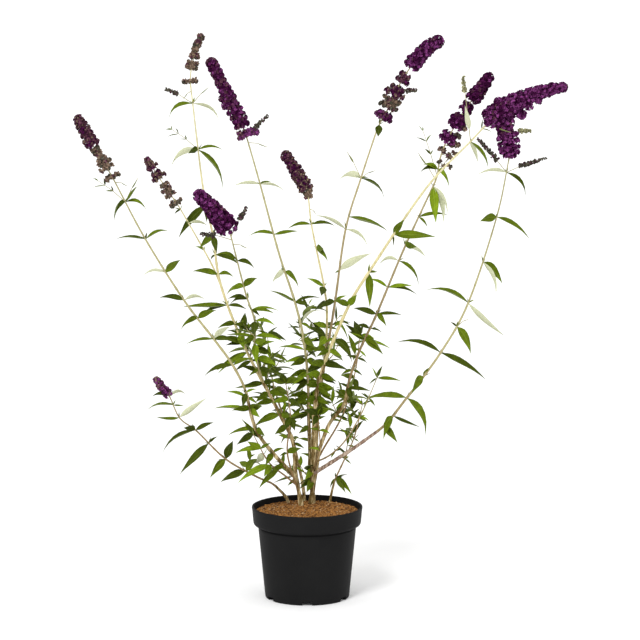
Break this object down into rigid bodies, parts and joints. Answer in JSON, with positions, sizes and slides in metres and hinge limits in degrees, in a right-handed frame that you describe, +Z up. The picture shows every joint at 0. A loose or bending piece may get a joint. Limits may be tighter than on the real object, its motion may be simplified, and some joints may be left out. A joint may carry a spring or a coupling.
{
  "type": "potted butterfly bush",
  "caption": "Butterfly bush in flower in a round black nursery pot: arching canes with paired narrow leaves, each ending in a purple flower spike.",
  "frame": {"origin": "middle of the flat underside of the pot, on the ground", "axes": "+Z up along the pot's axis; +X to the right and +Y away from the viewer, as the reference picture shows the plant"},
  "size_m": [0.8145, 0.4308, 0.965],
  "materials": {
    "pot_plastic": "matt black injection-moulded plastic",
    "compost": "loose reddish-brown bark compost",
    "bark": "tan-brown bark, finely furrowed",
    "foliage": "matt green leaves with pale felted undersides, on pale green stems"
  },
  "bodies": {
    "root": {"pot": "pot_plastic", "compost": "compost", "trunk_main": "bark", "trunk_left": "bark", "sucker_left": "bark", "sucker_right": "bark", "sucker_back": "bark", "bough_far_left": "bark", "bough_tall_left": "bark", "bough_centre": "bark", "bough_back": "bark", "bough_front_right": "bark", "bough_far_right": "bark", "bough_arching_right": "bark", "spray_far_left": "foliage", "spray_tall_left": "foliage", "spray_front_left": "foliage", "spray_centre": "foliage", "spray_back": "foliage", "spray_tall_right": "foliage", "spray_front_right": "foliage", "spray_far_right": "foliage", "spray_arching_right": "foliage", "spray_low_left": "foliage", "spray_low_right": "foliage", "spray_low_back": "foliage", "spray_inner_left": "foliage", "spray_inner_right": "foliage", "spray_inner_front": "foliage", "spray_inner_back": "foliage", "spray_inner_centre": "foliage"}
  },
  "joints": []
}
